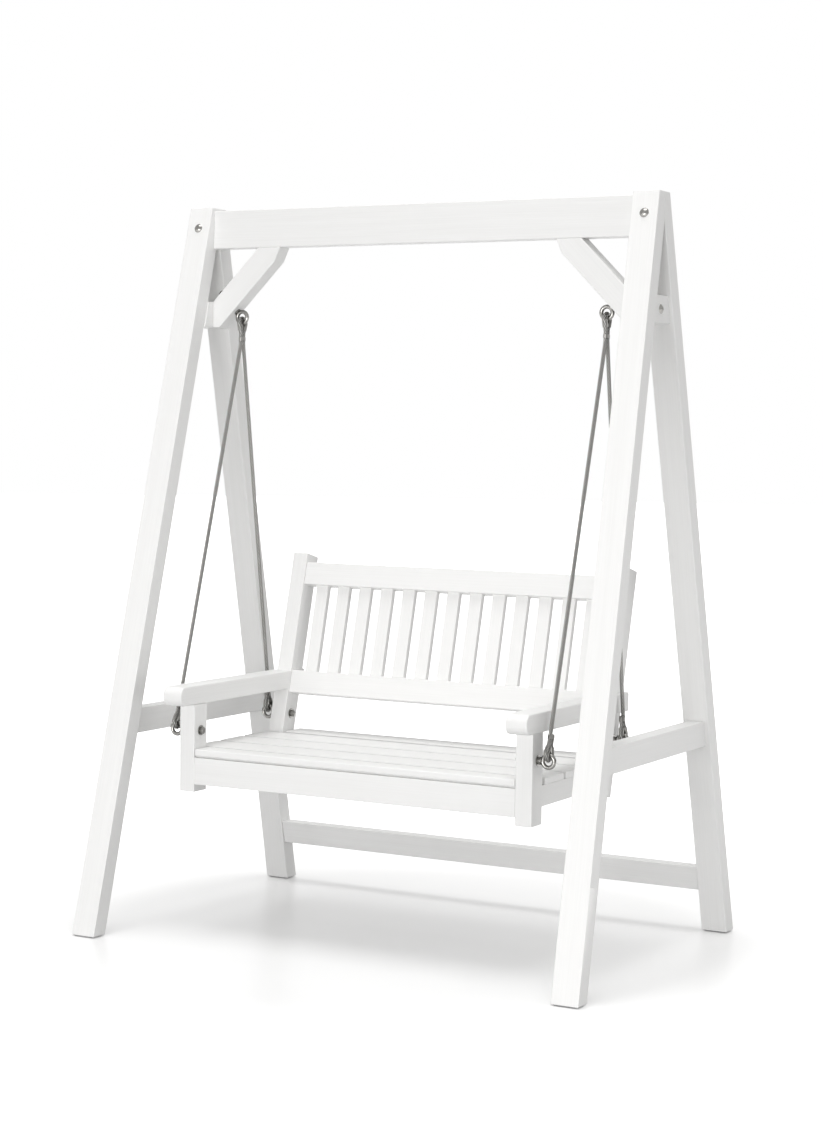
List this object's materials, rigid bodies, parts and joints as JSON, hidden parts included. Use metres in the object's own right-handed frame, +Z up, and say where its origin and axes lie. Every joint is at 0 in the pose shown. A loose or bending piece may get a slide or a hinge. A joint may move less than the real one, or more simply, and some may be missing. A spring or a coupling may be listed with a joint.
{
  "type": "a-frame swing bench",
  "caption": "Slatted wooden garden bench with a leaning back and armrests, hung on wire ropes from a free-standing A-frame and swinging front to back.",
  "frame": {"origin": "on the floor, centred between the four feet", "axes": "+Z up, +X to the sitter's left as seen from the front (viewer's right), +Y to the back; the bench swings about an axis along X"},
  "size_m": [1.43, 0.992, 1.9],
  "materials": {
    "painted_wood": "white satin paint over fine grain",
    "hardware": "satin",
    "rope": "stranded wire"
  },
  "bodies": {
    "stand": {"apex_bolts": "hardware", "brace_block_left": "painted_wood", "brace_block_right": "painted_wood", "brace_bolts": "hardware", "brace_left": "painted_wood", "brace_right": "painted_wood", "frame_nuts": "hardware", "frame_washers": "hardware", "front_leg_left": "painted_wood", "front_leg_right": "painted_wood", "rear_leg_left": "painted_wood", "rear_leg_right": "painted_wood", "rear_stretcher": "painted_wood", "side_rail_left": "painted_wood", "side_rail_right": "painted_wood", "top_beam": "painted_wood", "top_eye_left": "hardware", "top_eye_right": "hardware"},
    "bench": {"armrest_left": "painted_wood", "armrest_right": "painted_wood", "back_lower_rail": "painted_wood", "back_post_left": "painted_wood", "back_post_right": "painted_wood", "back_slat_1": "painted_wood", "back_slat_10": "painted_wood", "back_slat_11": "painted_wood", "back_slat_12": "painted_wood", "back_slat_13": "painted_wood", "back_slat_2": "painted_wood", "back_slat_3": "painted_wood", "back_slat_4": "painted_wood", "back_slat_5": "painted_wood", "back_slat_6": "painted_wood", "back_slat_7": "painted_wood", "back_slat_8": "painted_wood", "back_slat_9": "painted_wood", "back_top_rail": "painted_wood", "bench_eye_front_left": "hardware", "bench_eye_front_right": "hardware", "bench_eye_rear_left": "hardware", "bench_eye_rear_right": "hardware", "bench_thimbles": "hardware", "bench_washers": "hardware", "cap_nuts": "hardware", "front_post_left": "painted_wood", "front_post_right": "painted_wood", "front_rail": "painted_wood", "rear_rail": "painted_wood", "rope_left": "rope", "rope_right": "rope", "rope_sleeves": "hardware", "seat_bearer": "painted_wood", "seat_side_rail_left": "painted_wood", "seat_side_rail_right": "painted_wood", "seat_slat_1": "painted_wood", "seat_slat_2": "painted_wood", "seat_slat_3": "painted_wood", "seat_slat_4": "painted_wood", "seat_slat_5": "painted_wood", "top_thimbles": "hardware"}
  },
  "joints": [
    {"name": "swing", "type": "hinge", "parent": "stand", "child": "bench", "pos_m": [0, 0, 1.5928], "axis": [1, 0, 0], "range_deg": [-25, 25]}
  ]
}
